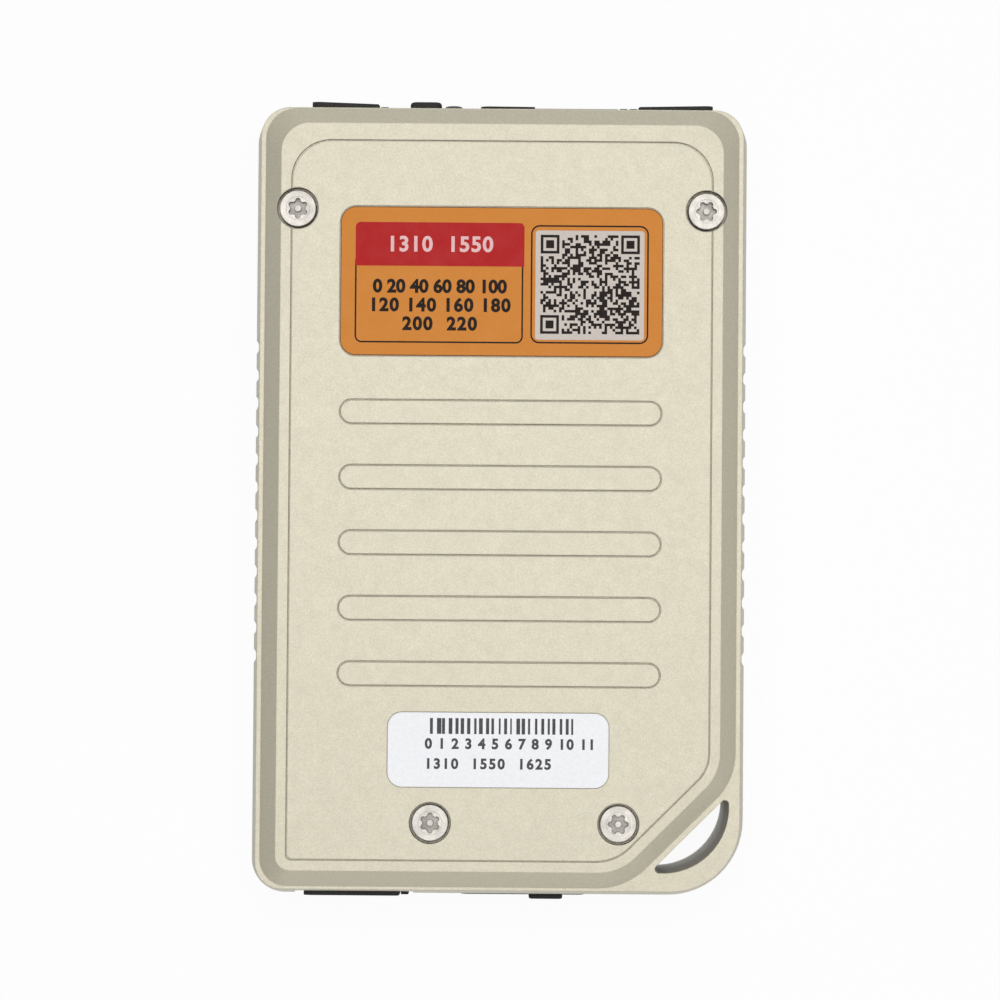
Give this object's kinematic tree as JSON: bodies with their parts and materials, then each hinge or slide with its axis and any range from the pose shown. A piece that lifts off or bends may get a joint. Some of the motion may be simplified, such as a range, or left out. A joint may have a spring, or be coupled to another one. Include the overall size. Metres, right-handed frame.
{
  "type": "optical time domain reflectometer",
  "caption": "Pocket optical time domain reflectometer with a champagne case, bevelled back, lanyard loop, capped ports and a slide switch.",
  "frame": {"origin": "on the table under the middle of the case, which lies on its display side", "axes": "+Y towards the port end, +Z out of the back, +X to the right seen from the back"},
  "size_m": [0.08, 0.13, 0.0302],
  "materials": {
    "champagne_paint": "fine satin speckle",
    "screw_steel": "nickel plated",
    "insert_brass": "turned",
    "black_rubber": "matte",
    "black_plastic": "fine texture",
    "cover_glass": "black bordered",
    "seal_foam": "adhesive foam",
    "display_dark": "display off",
    "board_green": "solder mask",
    "tinned_steel": "tinned",
    "module_alloy": "bead blasted",
    "tray_plastic": "moulded",
    "fibre_yellow": "wound fibre",
    "adapter_green": "moulded",
    "sleeve_ceramic": "ground",
    "receptacle_steel": "turned",
    "lens_clear": "clear",
    "led_body": "cast",
    "battery_wrap": "film wrap",
    "orange_film": "laminated",
    "white_film": "laminated"
  },
  "bodies": {
    "case": {"back_shell": "champagne_paint", "front_shell": "champagne_paint", "case_screws": "screw_steel", "case_inserts": "insert_brass", "display_glass": "cover_glass", "glass_seal": "seal_foam", "display_panel": "display_dark", "main_board": "board_green", "board_screws": "screw_steel", "shield_can": "tinned_steel", "buzzer": "black_plastic", "optics_module": "module_alloy", "optics_lid": "module_alloy", "fibre_tray": "tray_plastic", "fibre_coil": "fibre_yellow", "otdr_adapter": "adapter_green", "adapter_sleeve": "sleeve_ceramic", "pigtail_plug": "adapter_green", "vfl_receptacle": "receptacle_steel", "vfl_laser": "insert_brass", "meter_receptacle": "receptacle_steel", "meter_photodiode": "tinned_steel", "key_board": "board_green", "torch_switch": "tinned_steel", "torch_lens": "lens_clear", "torch_led": "led_body", "battery_pack": "battery_wrap", "battery_pad": "seal_foam", "data_jack": "black_plastic", "switch_bezel": "black_plastic", "charging_socket": "tinned_steel", "slide_switch": "tinned_steel", "flap_tethers": "black_rubber", "orange_label": "orange_film", "serial_label": "white_film"},
    "torch_button": {"torch_button": "black_rubber"},
    "switch_knob": {"switch_knob": "black_plastic"},
    "otdr_flap": {"otdr_flap": "black_rubber"},
    "vfl_flap": {"vfl_flap": "black_rubber"},
    "meter_flap": {"meter_flap": "black_rubber"},
    "data_flap": {"data_flap": "black_rubber"}
  },
  "joints": [
    {"name": "otdr_flap_hinge", "type": "hinge", "parent": "case", "child": "otdr_flap", "pos_m": [-0.0204, 0.06375, 0.015], "axis": [0, 0, -1], "range_deg": [0, 95]},
    {"name": "vfl_flap_hinge", "type": "hinge", "parent": "case", "child": "vfl_flap", "pos_m": [0.0186, 0.06375, 0.015], "axis": [0, 0, -1], "range_deg": [0, 95]},
    {"name": "meter_flap_hinge", "type": "hinge", "parent": "case", "child": "meter_flap", "pos_m": [0.0224, 0.06375, 0.015], "axis": [0, 0, 1], "range_deg": [0, 95]},
    {"name": "data_flap_hinge", "type": "hinge", "parent": "case", "child": "data_flap", "pos_m": [-0.0161, -0.06375, 0.015], "axis": [0, 0, 1], "range_deg": [0, 95]},
    {"name": "torch_button_press", "type": "slide", "parent": "case", "child": "torch_button", "axis": [0, -1, 0], "range_m": [0, 0.0005], "stiffness_N_per_m": 800},
    {"name": "switch_knob_slide", "type": "slide", "parent": "case", "child": "switch_knob", "axis": [1, 0, 0], "range_m": [0, 0.003]}
  ]
}
